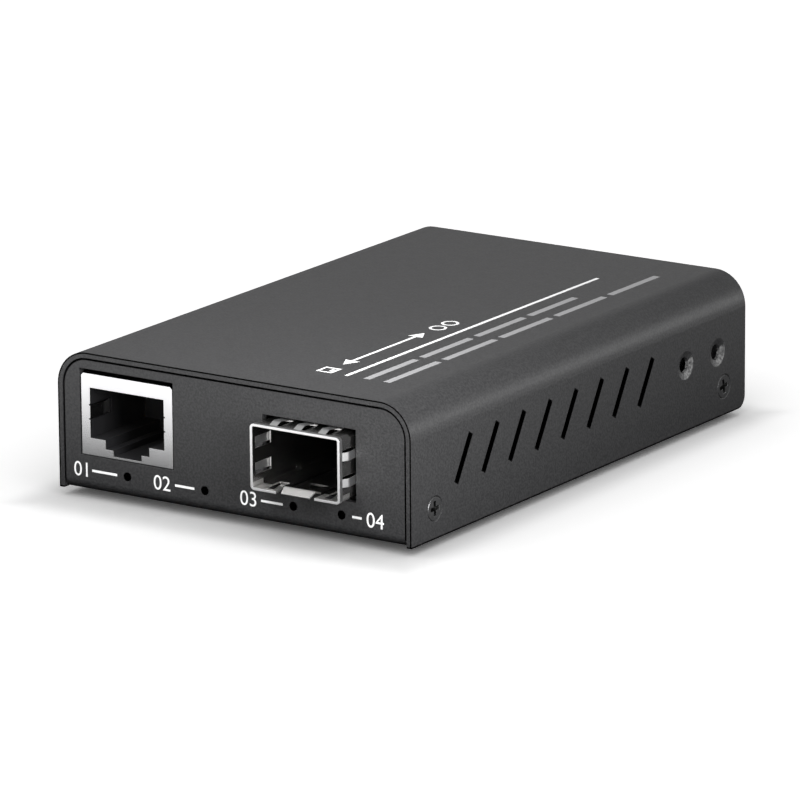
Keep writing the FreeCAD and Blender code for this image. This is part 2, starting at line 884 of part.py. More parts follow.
def latch_tongue():
    """The floor's spring tongue: a lip that leads a module in, a ramp and the latch window."""
    under = cage_z() - cage_inner_height / 2 - cage_sheet
    front = cage_front() + latch_setback
    crest = front + latch_lip_length
    path = [
        (front, under - clip_sheet, 0),
        (crest, under - clip_sheet + latch_rise, latch_bend),
        (crest + latch_ramp, under, latch_bend),
        (cage_front() + latch_length + cage_sheet, under, 0),
    ]
    half = latch_width / 2
    tongue = folded(path, cage_sheet, "side", cage_x - half, cage_x + half)
    rear = cage_front() + latch_length + cage_sheet
    tip = latch_tip_width / 2
    plan = [(cage_x - tip, front - cage_sheet, 0), (cage_x + tip, front - cage_sheet, 0)]
    plan += [(cage_x + half, crest, 0), (cage_x + half, rear, 0)]
    plan += [(cage_x - half, rear, 0), (cage_x - half, crest, 0)]
    tongue = tongue.common(extruded(plan, "plan", under - rim_height(), under + rim_height()))
    start = cage_front() + latch_window_start
    side = latch_window_width / 2
    window = [
        (cage_x, start, 0),
        (cage_x + side, start + latch_window_length, 0),
        (cage_x - side, start + latch_window_length, 0),
    ]
    return tongue.cut(extruded(window, "plan", under - 1, under + 1))


def make_cage_floor():
    """The cage's floor with turned-up edges, notched for the pins, and its latch tongue."""
    floor = cage_ring().common(cage_half(False))
    under = cage_z() - rim_height() / 2
    gap = rectangle(cage_x, cage_front() + latch_length / 2, latch_gap_width, latch_length)
    behind = cage_front() + connector_place - cage_sheet
    rest = rectangle(cage_x, behind + cage_length / 2, 2 * rim_width(), cage_length)
    tools = [extruded(corners, "plan", under - 1, under + 2 * cage_seam) for corners in (gap, rest)]
    return joined([floor.cut(tools + cage_pins(pin_gap)), latch_tongue()])


def make_spring_clip():
    """The clip hemmed over the rim, with bowed fingers that touch the panel's cut-out."""
    front = cage_front()
    grown = cage_sheet + clip_sheet
    ring = extruded(cage_outline(grown), "front", front, collar_end())
    inside = extruded(cage_outline(0), "front", front, collar_end())
    behind = extruded(cage_outline(cage_sheet), "front", front + clip_sheet, collar_end())
    low = cage_z() - rim_height() / 2
    gap = rectangle(cage_x, low, latch_gap_width, 2 * grown + cage_corner)
    gap = extruded(gap, "front", front, collar_end())
    fingers = []
    for turns, shift, wall in spring_places():
        z = cage_z() + wall
        y = collar_end()
        path = [
            (y - clip_collar / 2, z, 0),
            (y, z, 0),
            (y + spring_peak, z + spring_lift, spring_crest_radius),
            (y + spring_span, z, 0),
        ]
        x = cage_x + shift
        finger = folded(path, clip_sheet, "side", x - spring_width / 2, x + spring_width / 2)
        fingers.append(round_cage(finger, turns))
    return joined([ring.cut([inside, behind, gap])] + fingers)


def slot_middle():
    """Height of the module connector's card slot."""
    return board_top + card_slot_level


def connector_front():
    """The module connector's face."""
    return cage_front() + connector_place


def make_module_connector():
    """The black connector at the back of the cage, with its card slot and contact channels."""
    front = connector_front()
    rear = front + connector_depth
    body = rectangle(cage_x, (front + rear) / 2, connector_width, connector_depth)
    body = extruded(body, "plan", board_top, board_top + connector_height)
    slot = rectangle(cage_x, slot_middle(), card_slot_width, card_slot_height)
    tools = [extruded(slot, "front", front - 1, front + card_slot_depth)]
    for side in (-1, 1):
        z = slot_middle() + side * (card_slot_height + pin_strip_sheet) / 2
        row = rectangle(cage_x, z, row_span(), pin_strip_sheet)
        tools.append(extruded(row, "front", front + pin_strip_front, rear + 1))
    return body.cut(tools)


def row_span():
    """Width over one row of the module connector's contacts."""
    return (pin_row_count - 1) * pin_row_pitch + pin_strip_width


def make_connector_contacts():
    """Two rows of bent strips from the card slot to the board behind the connector."""
    front = connector_front() + pin_strip_front
    strips = []
    levels = (slot_middle() - card_slot_height / 2 - pin_strip_sheet, slot_middle() + card_slot_height / 2)
    for z, drop in zip(levels, pin_row_drops):
        y = connector_front() + connector_depth + drop
        path = [
            (front, z, 0),
            (y, z, 0),
            (y, board_top, 0),
            (y + pin_tail, board_top, 0),
        ]
        for i in range(pin_row_count):
            x = cage_x - row_span() / 2 + i * pin_row_pitch
            strips.append(folded(path, pin_strip_sheet, "side", x, x + pin_strip_width))
    return strips


def inlet_front():
    """The inner end of the power inlet."""
    return panel_rear - inlet_depth


def inlet_tail_rows():
    """Where the power inlet's two tails pass through the board."""
    pin_row = inlet_front() - inlet_tail_sheet / 2
    spring_row = inlet_front() + inlet_spring_place
    return (pin_row, spring_row)


def inlet_axis_z():
    """Height of the power inlet's bore."""
    return board_top + inlet_bore_level


def spring_channel(grow):
    """The channel below the bore, which the inlet's spring lies in."""
    top = inlet_axis_z() - inlet_bore_radius / 2
    low = inlet_axis_z() - inlet_bore_radius - inlet_slot_depth
    row = inlet_tail_rows()[1]
    width = inlet_spring_width + 2 * grow
    half = inlet_spring_sheet / 2 + grow
    corners = [(row - half, board_top - 1, 0), (row + half, board_top - 1, 0), (row + half, low, 0)]
    end = row + inlet_spring_length
    corners += [(end + half, low, 0), (end + half, top, 0), (row - half, top, 0)]
    return extruded(corners, "side", inlet_x - width / 2, inlet_x + width / 2)


def make_inlet_housing():
    """The power inlet's moulding: an arched block with a bore, a pin seat and a spring channel."""
    block = extruded(inlet_outline(0), "front", inlet_front(), panel_rear)
    backward = V(0, -1, 0)
    bore = rod(inlet_x, panel_rear + 1, inlet_axis_z(), inlet_bore_radius, inlet_bore_depth + 1, backward)
    seat = rod(inlet_x, panel_rear, inlet_axis_z(), inlet_pin_radius + press_gap, inlet_depth + 1, backward)
    return block.cut([bore, seat, spring_channel(inlet_slot_gap)])


def make_inlet_pin():
    """The centre pin, with a flat tail down through the board."""
    length = inlet_depth - inlet_pin_setback
    pin = rod(inlet_x, inlet_front(), inlet_axis_z(), inlet_pin_radius, length, V(0, 1, 0))
    low = board_top - inlet_tail_depth
    high = inlet_axis_z() + inlet_pin_radius
    tail = rectangle(inlet_x, inlet_tail_rows()[0], inlet_tail_width, inlet_tail_sheet)
    return joined([pin, extruded(tail, "plan", low, high)])


def make_inlet_spring():
    """The sleeve contact: a bent strip that rises into the bore from its tail in the board."""
    row = inlet_tail_rows()[1]
    half = inlet_spring_sheet / 2
    bed = inlet_axis_z() - inlet_bore_radius - inlet_slot_depth
    crest = inlet_axis_z() - inlet_bore_radius + inlet_spring_rise - inlet_spring_sheet
    path = [
        (row - half, board_top - inlet_tail_depth, 0),
        (row - half, bed + inlet_spring_sheet, 0),
        (row + inlet_spring_crest, crest + inlet_spring_sheet, 0),
        (row + inlet_spring_length, bed + inlet_spring_sheet, 0),
    ]
    path = [(u, v, radius) for u, v, radius in path[::-1]]
    half_width = inlet_spring_width / 2
    return folded(path, inlet_spring_sheet, "side", inlet_x - half_width, inlet_x + half_width)


def make_chip(x, y, size, leads, pitch):
    """A moulded chip with gull-wing leads on its two long sides."""
    width, length, height = size
    low = board_top + body_lift
    pieces = [extruded(rectangle(x, y, width, length), "plan", low, low + height)]
    shoulder = low + height * shoulder_share
    path = [
        (x + width / 2 - lead_root, shoulder, 0),
        (x + width / 2 + lead_reach - lead_foot, shoulder, 0),
        (x + width / 2 + lead_reach - lead_foot, board_top, 0),
        (x + width / 2 + lead_reach, board_top, 0),
    ]
    for i in range(leads):
        along = y + (i - (leads - 1) / 2) * pitch
        lead = folded(path, lead_sheet, "front", along - lead_width / 2, along + lead_width / 2)
        pieces += [lead, lead.mirror(V(x, 0, 0), V(1, 0, 0))]
    return joined(pieces)


def make_block(x, y, size, corner=0.0):
    """A part that sits flat on the board, with its corners cut."""
    width, length, height = size
    corners = cut_rectangle(x, y, width, length, corner) if corner else rectangle(x, y, width, length)
    return extruded(corners, "plan", board_top, board_top + height)


def make_crystal():
    """The clock crystal's drawn steel can."""
    width, length, height = crystal_size
    corners = rectangle(-side_x + crystal_inset, front_y + crystal_back, width, length, length / 2)
    return extruded(corners, "plan", board_top, board_top + height)


def make_capacitors():
    """Can capacitors on square bases."""
    capacitors = []
    x = -side_x + capacitor_inset
    for front in capacitor_fronts:
        y = rear_y - front
        can = rod(x, y, board_top, capacitor_radius, capacitor_height)
        base = rectangle(x, y, capacitor_base, capacitor_base)
        capacitors.append(joined([can, extruded(base, "plan", board_top, board_top + capacitor_base_height)]))
    return capacitors


def save(name, shape):
    """Write one piece, or a group of like pieces, to its own file."""
    if isinstance(shape, list):
        shape = Part.makeCompound(shape)
    shape.exportStep("parts/" + name + ".step")


os.makedirs("parts", exist_ok=True)
save("top_cover", make_cover())
save("base_tray", make_tray())
save("cover_screws", make_cover_screws())
save("rubber_feet", make_feet())
save("board_standoffs", make_standoffs())
save("board_screws", make_board_screws())
save("circuit_board", make_board())
for i, light_x in enumerate(light_places):
    save("status_light_" + str(i + 1), make_light(light_x))
save("jack_shield", make_jack_shield())
save("jack_housing", make_jack_housing())
save("jack_insert", make_jack_insert())
save("jack_contacts", make_jack_contacts())
save("cage_shell", make_cage_shell())
save("cage_floor", make_cage_floor())
save("cage_spring_clip", make_spring_clip())
save("module_connector", make_module_connector())
save("module_connector_contacts", make_connector_contacts())
save("power_inlet_housing", make_inlet_housing())
save("power_inlet_pin", make_inlet_pin())
save("power_inlet_spring", make_inlet_spring())
transformer = (jack_x, front_y + transformer_back, transformer_size, transformer_leads, transformer_pitch)
save("line_transformer", make_chip(*transformer))
save("converter_chip", make_block(-side_x + converter_inset, front_y + converter_back, converter_size))
memory = (-side_x + memory_inset, front_y + memory_back, memory_size, memory_leads, memory_pitch)
save("memory_chip", make_chip(*memory))
regulator_place = (-side_x + regulator_inset, rear_y - regulator_front)
save("voltage_regulator", make_chip(*regulator_place, regulator_size, regulator_leads, regulator_pitch))
save("clock_crystal", make_crystal())
inductor_place = (-side_x + inductor_inset, rear_y - inductor_front)
save("power_inductor", make_block(*inductor_place, inductor_size, inductor_corner))
save("smoothing_capacitors", make_capacitors())
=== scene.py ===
import math

import bpy
from mathutils import Matrix, Vector


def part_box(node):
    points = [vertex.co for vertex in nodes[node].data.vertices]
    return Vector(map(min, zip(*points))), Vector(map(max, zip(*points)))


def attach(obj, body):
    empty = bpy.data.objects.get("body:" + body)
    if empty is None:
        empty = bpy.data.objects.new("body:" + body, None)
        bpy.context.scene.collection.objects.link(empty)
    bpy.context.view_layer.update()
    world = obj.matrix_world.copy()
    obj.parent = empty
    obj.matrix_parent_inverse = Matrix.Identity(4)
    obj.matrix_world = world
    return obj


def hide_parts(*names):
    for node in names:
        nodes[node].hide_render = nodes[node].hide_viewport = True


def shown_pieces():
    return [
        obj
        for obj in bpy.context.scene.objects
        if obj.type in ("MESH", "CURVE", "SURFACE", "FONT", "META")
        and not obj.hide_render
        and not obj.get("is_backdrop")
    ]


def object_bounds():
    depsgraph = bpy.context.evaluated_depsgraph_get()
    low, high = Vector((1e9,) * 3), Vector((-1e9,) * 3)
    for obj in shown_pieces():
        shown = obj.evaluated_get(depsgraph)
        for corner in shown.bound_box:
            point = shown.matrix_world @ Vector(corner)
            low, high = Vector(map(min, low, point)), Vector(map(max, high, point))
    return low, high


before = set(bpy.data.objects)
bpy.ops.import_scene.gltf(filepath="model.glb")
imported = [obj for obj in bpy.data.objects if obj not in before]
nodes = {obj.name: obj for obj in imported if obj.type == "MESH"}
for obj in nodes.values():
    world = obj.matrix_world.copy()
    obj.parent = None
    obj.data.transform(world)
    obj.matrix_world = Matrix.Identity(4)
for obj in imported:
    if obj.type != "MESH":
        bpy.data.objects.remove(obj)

cad_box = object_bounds()
scene = bpy.context.scene
mm = 0.001

# ---------------------------------------------------------------- tray
# The lower half of the case is one steel sheet: the floor, both end panels and four lugs are
# pressed and folded, then powder coated with the cover. The baked coat is charcoal, with an
# even fine grain, and it rounds every cut edge a little.


class Wire:
    """An output in a node tree. A sum on it adds Math nodes to the tree."""

    def __init__(self, graph, socket):
        self.graph = graph
        self.socket = socket

    def math(self, operation, first, second=0.0):
        return self.graph.add("ShaderNodeMath", {"operation": operation}, {0: first, 1: second})

    def __add__(self, other):
        return self.math("ADD", self, other)

    def __radd__(self, other):
        return self.math("ADD", other, self)

    def __sub__(self, other):
        return self.math("SUBTRACT", self, other)

    def __rsub__(self, other):
        return self.math("SUBTRACT", other, self)

    def __mul__(self, other):
        return self.math("MULTIPLY", self, other)

    def __rmul__(self, other):
        return self.math("MULTIPLY", other, self)

    def __truediv__(self, other):
        return self.math("DIVIDE", self, other)

    def __rtruediv__(self, other):
        return self.math("DIVIDE", other, self)

    def __mod__(self, other):
        return self.math("FLOORED_MODULO", self, other)

    def __pow__(self, other):
        return self.math("POWER", self, other)

    def __gt__(self, other):
        return self.math("GREATER_THAN", self, other)

    def __lt__(self, other):
        return self.math("LESS_THAN", self, other)

    def __neg__(self):
        return self.math("MULTIPLY", self, -1.0)

    def __abs__(self):
        return self.math("ABSOLUTE", self)


class Graph:
    """A node tree and the one way to add a node to it; a list of wires all go to one socket."""

    def __init__(self, tree):
        self.tree = tree

    def add(self, kind, settings=None, sockets=None, out=0):
        node = self.tree.nodes.new(kind)
        for name, value in (settings or {}).items():
            setattr(node, name, value)
        for key, value in (sockets or {}).items():
            several = isinstance(value, list) and isinstance(value[0], Wire)
            for one in value if several else [value]:
                if isinstance(one, Wire):
                    self.tree.links.new(one.socket, node.inputs[key])
                else:
                    node.inputs[key].default_value = one
        return Wire(self, node.outputs[out])


class Finish(Graph):
    """A material whose patterns are measured in millimetres on the piece."""

    def __init__(self, name):
        self.material = bpy.data.materials.new(name)
        self.material.use_nodes = True
        super().__init__(self.material.node_tree)
        self.tree.nodes.clear()
        self.place = self.add("ShaderNodeTexCoord", out="Object")

    def noise(self, size, detail=2.0):
        """Noise with grains about size millimetres across."""
        sockets = {"Vector": self.place, "Scale": 1 / (size * mm), "Detail": detail}
        return self.add("ShaderNodeTexNoise", {"noise_dimensions": "3D"}, sockets)

    def millimetres(self):
        """The three object coordinates in millimetres."""
        parts = self.tree.nodes.new("ShaderNodeSeparateXYZ")
        self.tree.links.new(self.place.socket, parts.inputs[0])
        return [Wire(self, parts.outputs[i]) * (1 / mm) for i in range(3)]

    def blend(self, share, low, high):
        """A colour between two, by a share."""
        return self.add("ShaderNodeMix", {"data_type": "RGBA"}, {0: share, 6: low, 7: high}, out=2)

    def relief(self, height, depth, strength, edge=0.0):
        """A bump of the given depth, over edges softened by a radius, both in millimetres."""
        sockets = {"Height": height, "Distance": depth * mm, "Strength": strength}
        if edge:
            sockets["Normal"] = self.add("ShaderNodeBevel", {"samples": 4}, {"Radius": edge * mm})
        return self.add("ShaderNodeBump", None, sockets)

    def surface(self, **sockets):
        """Closes the material with a Principled surface; base_color stands for Base Color."""
        named = {name.replace("_", " ").title(): value for name, value in sockets.items()}
        self.close(self.add("ShaderNodeBsdfPrincipled", None, named, out="BSDF"))
        return self.material

    def close(self, shader):
        """Joins a shader to the material's output."""
        out = self.tree.nodes.new("ShaderNodeOutputMaterial")
        self.tree.links.new(shader.socket, out.inputs["Surface"])


def dress(material, *names):
    """Gives CAD nodes their finish."""
    for name in names:
        for held in nodes[name].material_slots:
            held.material = material


charcoal = (0.020, 0.020, 0.021, 1)
charcoal_light = (0.036, 0.036, 0.037, 1)
# near black, for bare cut edges and for shade painted in gaps, holes and vents
bare_edge_and_shade = (0.004, 0.004, 0.004, 1)
coat_grain = 0.32           # size of one grain
coat_contrast = 4.0
coat_relief = 0.025
coat_strength = 0.8         # of that relief
coat_rounding = 0.12        # of the sheet's edges
coat_roughness = 0.42
coat_unevenness = 0.05      # how far the gloss differs from patch to patch
coat_patch = 1.2


def powder_coat(name, over):
    """The baked coat; over gives the share of bare edges and painted shade, both as blackened steel,
    and a list of (share, colour) for print and a painted highlight.
    """
    coat = Finish(name)
    grain = coat.noise(coat_grain)
    speckle = (grain - 0.5) * coat_contrast + 0.5
    colour = coat.blend(speckle, charcoal, charcoal_light)
    # The first share paints bare edges and the shade in gaps, holes and vents near black; the list
    # lays print and a painted highlight over the coat.
    bare_and_shaded, overlays = over(coat)
    for share, overlay in overlays:
        colour = coat.blend(share, colour, overlay)
    return coat.surface(
        base_color=coat.blend(bare_and_shaded, colour, bare_edge_and_shade),
        metallic=bare_and_shaded,
        roughness=coat_roughness + coat_unevenness * (coat.noise(coat_patch) - 0.5),
        normal=coat.relief(grain, coat_relief, coat_strength, edge=coat_rounding),
    )


panel_half = 28.5           # half the panels' width
panel_corner = 4.0
panel_edge_shade = 0.12           # bare rim left by the shears and the shade of the gap under the cover, painted near black
light_hole = 0.65
floor_fold = 1.0            # the panels start above the floor's thickness


def corner_depth(x, z, half, top, radius):
    """How far a place lies inside an outline with two rounded upper corners."""
    out = (abs(x) - (half - radius)).math("MAXIMUM", abs(x) - (half - radius), 0.0)
    up = z.math("MAXIMUM", z - (top - radius), 0.0)
    return radius - (out * out + up * up) ** 0.5


def on_tray(coat):
    """The end panels' bare cut edges, with the shade of the gap along them and in the lights' holes
    painted near black.
    """
    x, y, z = coat.millimetres()
    low, high = [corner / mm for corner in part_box("base_tray")]
    bare_and_shaded = corner_depth(x, z, panel_half, high.z, panel_corner) < panel_edge_shade
    for i in range(4):
        lens_low, lens_high = [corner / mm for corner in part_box(f"status_light_{i + 1}")]
        middle = (lens_low + lens_high) / 2
        away = ((x - middle.x) ** 2.0 + (z - middle.z) ** 2.0) ** 0.5
        bare_and_shaded = bare_and_shaded + (away < light_hole) * (y < 0.0)
    return (bare_and_shaded > 0.5) * (z > low.z + floor_fold), []


dress(powder_coat("powder_coat", on_tray), "base_tray")

# ---------------------------------------------------------------- numbers on the front panel
# Each status light has a plain number and a short rule that leads to it.
# They are screen printed on the coat in one pass of white ink, a hair thick.

number_height = 2.1
number_gap = 0.8            # between a number and its rule
rule_start = 1.75           # from the light's middle
label_lengths = (7.4, 6.9, 7.1, 5.2)    # each number with its rule
rule_height = 0.35
ink_thickness = 0.02
last_light = 3              # its number stands on its right


def number_mesh(digits):
    """Some digits as a flat mesh in millimetres, level with its middle and starting at 0."""
    text = bpy.data.curves.new("digits", "FONT")
    text.body = digits
    held = bpy.data.objects.new("digits", text)
    scene.collection.objects.link(held)
    mesh = bpy.data.meshes.new_from_object(held.evaluated_get(bpy.context.evaluated_depsgraph_get()))
    bpy.data.objects.remove(held)
    left = min(v.co.x for v in mesh.vertices)
    low = min(v.co.y for v in mesh.vertices)
    size = number_height / (max(v.co.y for v in mesh.vertices) - low)
    for v in mesh.vertices:
        v.co = ((v.co.x - left) * size, (v.co.y - low) * size - number_height / 2, 0)
    return mesh


def even_finish(name, dark, light, cloud, roughness, grain, depth, strength, edge=0.0):
    """A non-metal with faint clouds of tone, an uneven gloss and a fine grain."""
    plain = Finish(name)
    return plain.surface(
        base_color=plain.blend(plain.noise(cloud), dark, light),
        roughness=roughness + 0.1 * plain.noise(1.0),
        normal=plain.relief(plain.noise(grain), depth, strength, edge),
    )


white_paint = even_finish(
    "white_ink",
    dark=(0.84, 0.84, 0.84, 1),
    light=(0.94, 0.94, 0.94, 1),
    cloud=0.4,
    roughness=0.5,
    grain=coat_grain,
    depth=0.01,
    strength=0.4,
)
panel_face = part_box("base_tray")[0].y / mm
for i, length in enumerate(label_lengths):
    low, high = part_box(f"status_light_{i + 1}")
    light_x = (low.x + high.x) / 2 / mm
    light_z = (low.z + high.z) / 2 / mm
    label = number_mesh(f"0{i + 1}")
    width = max(v.co.x for v in label.vertices)
    side = 1 if i == last_light else -1
    near = light_x + side * rule_start
    far = near + side * (length - width - number_gap)
    digits_x = far + number_gap if side > 0 else far - number_gap - width
    flat = [(digits_x + v.co.x, v.co.y) for v in label.vertices]
    faces = [list(face.vertices) for face in label.polygons]
    faces.append([len(flat) + corner for corner in range(4)])
    ends = sorted((near, far))
    half_rule = rule_height / 2
    flat += [(end, -half_rule) for end in ends]
    flat += [(end, half_rule) for end in reversed(ends)]
    placed = [(x * mm, (panel_face - ink_thickness) * mm, (light_z + up) * mm) for x, up in flat]
    mesh = bpy.data.meshes.new(f"number_{i + 1}")
    mesh.from_pydata(placed, [], faces)
    mesh.materials.append(white_paint)
    number = bpy.data.objects.new(f"number_{i + 1}", mesh)
    scene.collection.objects.link(number)
    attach(number, "root")

# ---------------------------------------------------------------- rubber feet
# The tray stands on four moulded rubber discs with rounded rims.
# They are stuck to its floor near the corners.

weld = 0.002                # points nearer than this are one


class Pattern(Graph):
    """A geometry tree with named sizes, and the plain mesh that it makes."""

    def __init__(self, name):
        super().__init__(bpy.data.node_groups.new(name, "GeometryNodeTree"))
        self.name = name
        self.values = {}
        self.tree.interface.new_socket("Geometry", in_out="OUTPUT", socket_type="NodeSocketGeometry")
        self.entry = self.tree.nodes.new("NodeGroupInput")

    def size(self, label, value):
        """A named input of the tree and its value."""
        kind = "NodeSocketInt" if isinstance(value, int) else "NodeSocketFloat"
        socket = self.tree.interface.new_socket(label, in_out="INPUT", socket_type=kind)
        self.values[socket.identifier] = value
        return Wire(self, self.entry.outputs[label])

    def point(self, x=0.0, y=0.0, z=0.0):
        """A vector from three values."""
        return self.add("ShaderNodeCombineXYZ", None, {0: x, 1: y, 2: z})

    def join(self, *parts):
        """Several parts as one geometry."""
        return self.add("GeometryNodeJoinGeometry", None, {0: list(parts)})

    def moved(self, part, place=None, turn=None, scale=None):
        """A part moved, turned or scaled; what isn't given stays."""
        given = {"Translation": place, "Rotation": turn, "Scale": scale}
        sockets = {key: value for key, value in given.items() if value is not None}
        return self.add("GeometryNodeTransform", None, {"Geometry": part} | sockets)

    def smooth(self, part, sharp=0.7):
        """Smooth faces with an edge kept wherever they meet at more than an angle in radians."""
        sockets = {0: part, "Shade Smooth": True}
        rounded = self.add("GeometryNodeSetShadeSmooth", {"domain": "FACE"}, sockets)
        crease = self.add("GeometryNodeInputMeshEdgeAngle") > sharp
        sockets = {0: rounded, "Selection": crease, "Shade Smooth": False}
        return self.add("GeometryNodeSetShadeSmooth", {"domain": "EDGE"}, sockets)

    def turned(self, sides, outline):
        """A closed turned form; its outline is (radius, level) from the top's rim to the bottom's."""
        parts = []
        for (upper, top), (lower, bottom) in zip(outline, outline[1:]):
            sockets = {"Vertices": sides, "Radius Top": upper, "Radius Bottom": lower}
            sockets["Depth"] = top - bottom
            ring = self.add("GeometryNodeMeshCone", {"fill_type": "NONE"}, sockets, out="Mesh")
            parts.append(self.moved(ring, self.point(z=bottom)))
        for radius, level in (outline[0], outline[-1]):
            sockets = {"Vertices": sides, "Radius": radius}
            cap = self.add("GeometryNodeMeshCircle", {"fill_type": "NGON"}, sockets)
            parts.append(self.moved(cap, self.point(z=level)))
        parts[-1] = self.add("GeometryNodeFlipFaces", None, {0: parts[-1]})
        sockets = {"Geometry": self.join(*parts), "Distance": weld * mm}
        return self.add("GeometryNodeMergeByDistance", None, sockets)

    def at_corners(self, part, width, depth, turn=None):
        """A part at the four corners of a level rectangle round the origin."""
        sockets = {"Size X": width, "Size Y": depth, "Vertices X": 2, "Vertices Y": 2}
        sockets = {"Points": self.add("GeometryNodeMeshGrid", None, sockets), "Instance": part}
        if turn is not None:
            sockets["Rotation"] = turn
        return self.add("GeometryNodeInstanceOnPoints", None, sockets)

    def make(self, part, material, slot, node):
        """Runs the tree once and leaves a plain mesh in a CAD node's place."""
        real = self.add("GeometryNodeRealizeInstances", None, {0: part})
        dressed = self.add("GeometryNodeSetMaterial", None, {"Geometry": real, "Material": material})
        end = self.tree.nodes.new("NodeGroupOutput")
        self.tree.links.new(dressed.socket, end.inputs[0])
        piece = bpy.data.objects.new(self.name, bpy.data.meshes.new(self.name))
        scene.collection.objects.link(piece)
        modifier = piece.modifiers.new("pattern", "NODES")
        modifier.node_group = self.tree
        for identifier, value in self.values.items():
            modifier[identifier] = value
        held = piece.evaluated_get(bpy.context.evaluated_depsgraph_get())
        mesh = bpy.data.meshes.new_from_object(held)
        mesh.materials.clear()
        mesh.materials.append(material)
        piece.modifiers.clear()
        piece.data = mesh
        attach(piece, "root")
        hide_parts(node)
        return piece


foot_rubber = even_finish(
    "foot_rubber",
    dark=(0.012, 0.012, 0.012, 1),
    light=(0.024, 0.024, 0.024, 1),
    cloud=1.5,
    roughness=0.75,
    grain=0.3,
    depth=0.02,
    strength=0.4,
)
low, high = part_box("rubber_feet")
feet = Pattern("moulded_feet")
foot_radius = feet.size("foot radius", 4.0 * mm)
foot_height = feet.size("foot height", high.z - low.z)
foot_round = feet.size("rim rounding", 0.35 * mm)
row_width = feet.size("row width", high.x - low.x) - 2 * foot_radius
row_depth = feet.size("row depth", high.y - low.y) - 2 * foot_radius
middle_x = feet.size("middle x", (low.x + high.x) / 2)
middle_y = feet.size("middle y", (low.y + high.y) / 2)
round_steps = 5
rim = []
for step in range(round_steps + 1):
    arc = math.pi / 2 * step / round_steps
    rim.append((foot_radius - foot_round * (1 - math.sin(arc)), foot_round * (1 - math.cos(arc))))
outline = [(out, foot_height - down) for out, down in rim] + rim[::-1]
disc = feet.turned(sides=64, outline=outline)
four = feet.at_corners(feet.smooth(disc), row_width, row_depth)
feet.make(feet.moved(four, feet.point(middle_x, middle_y)), foot_rubber, "foot_rubber", "rubber_feet")

# ---------------------------------------------------------------- standoffs and board screws
# Hexagonal standoffs are pressed into the tray's floor, and cheese-head screws hold the board.
# Both are turned from steel and nickel plated.

marks_across = 1.2          # to the millimetre
marks_along = 0.25


def plated(name, colour, roughness, marks=0.06, edge=0.06):
    """Bright plate over turned or stamped metal, with faint marks along the strip."""
    metal = Finish(name)
    x, y, z = metal.millimetres()
    sockets = {0: x * marks_across, 1: y * marks_along, 2: z * marks_across}
    sockets = {"Vector": metal.add("ShaderNodeCombineXYZ", None, sockets), "Scale": 1.0}
    strip = metal.add("ShaderNodeTexNoise", {"noise_dimensions": "3D"}, sockets)
    duller = [0.9 * share for share in colour]
    return metal.surface(
        base_color=metal.blend(metal.noise(2.5), (*duller, 1), (*colour, 1)),
        metallic=1.0,
        roughness=roughness + marks * strip,
        normal=metal.relief(strip, 0.003, 0.05, edge=edge),
    )


nickel = plated("nickel_plate", (0.80, 0.79, 0.77), 0.24)
dress(nickel, "board_screws", "board_standoffs")

# ---------------------------------------------------------------- circuit board
# The board is glass epoxy 1.6 mm thick with copper on both faces under a black solder mask.
# The tracks stand out a little below the mask, which is satin.

track_count = 14.0          # side by side from the lowest to the highest of the noise
track_share = 0.14
mask = Finish("black_solder_mask")
track = abs(((mask.noise(7.0, 0.0) * track_count) % 1.0) - 0.5) < track_share
board_mask = mask.surface(
    base_color=mask.blend(track, (0.010, 0.012, 0.011, 1), (0.022, 0.027, 0.024, 1)),
    roughness=0.34 + 0.1 * mask.noise(1.5),
    normal=mask.relief(track, 0.03, 0.5),
)
dress(board_mask, "circuit_board")

# ---------------------------------------------------------------- chips, crystal and power parts
# The transformer, the memory chip and the regulator are moulded in black epoxy, with tinned
# gull-wing leads, and the converter has its pads below. The inductor is a block of ferrite, the
# crystal a drawn nickel-plated can, and the capacitors are aluminium cans on black bases.

lead_reach = 1.1            # from the body's side to a lead's end
epoxy_colours = ((0.012, 0.012, 0.013, 1), (0.024, 0.024, 0.025, 1))
lead_tin = (0.78, 0.78, 0.79, 1)


def moulded_chip(node, leaded=True):
    """Matt epoxy up to the sides of the body, and tin beyond them."""
    low, high = [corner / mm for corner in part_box(node)]
    epoxy = Finish(node + "_finish")
    x = epoxy.millimetres()[0]
    body_half = (high.x - low.x) / 2 - (lead_reach if leaded else 0) + 0.01
    lead = abs(x - (low.x + high.x) / 2) > body_half
    colour = epoxy.blend(epoxy.noise(0.5), *epoxy_colours)
    return epoxy.surface(
        base_color=epoxy.blend(lead, colour, lead_tin),
        metallic=lead,
        roughness=0.6 - 0.32 * lead,
        normal=epoxy.relief(epoxy.noise(0.12), 0.02, 0.5, edge=0.05),
    )


for name in ("line_transformer", "memory_chip", "voltage_regulator"):
    dress(moulded_chip(name), name)
for name in ("converter_chip", "power_inductor"):
    dress(moulded_chip(name, leaded=False), name)
dress(nickel, "clock_crystal")

base_height = 0.92
can = Finish("capacitor_cans")
height = can.millimetres()[2]
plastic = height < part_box("smoothing_capacitors")[0].z / mm + base_height
brushed = can.blend(can.noise(0.4), (0.66, 0.66, 0.67, 1), (0.78, 0.78, 0.79, 1))
can_metal = can.surface(
    base_color=can.blend(plastic, brushed, (0.015, 0.015, 0.016, 1)),
    metallic=1 - plastic,
    roughness=0.3 + 0.2 * plastic,
    normal=can.relief(can.noise(0.2), 0.01, 0.3, edge=0.1),
)
dress(can_metal, "smoothing_capacitors")

# ---------------------------------------------------------------- copper jack
# A black moulded housing holds eight gold-plated spring contacts on an insert.
# A shield stamped from bright tinned strip is folded round it and soldered to the board.

tin = plated("tin_plate", (0.90, 0.90, 0.91), 0.15, marks=0.03)
dress(tin, "jack_shield")

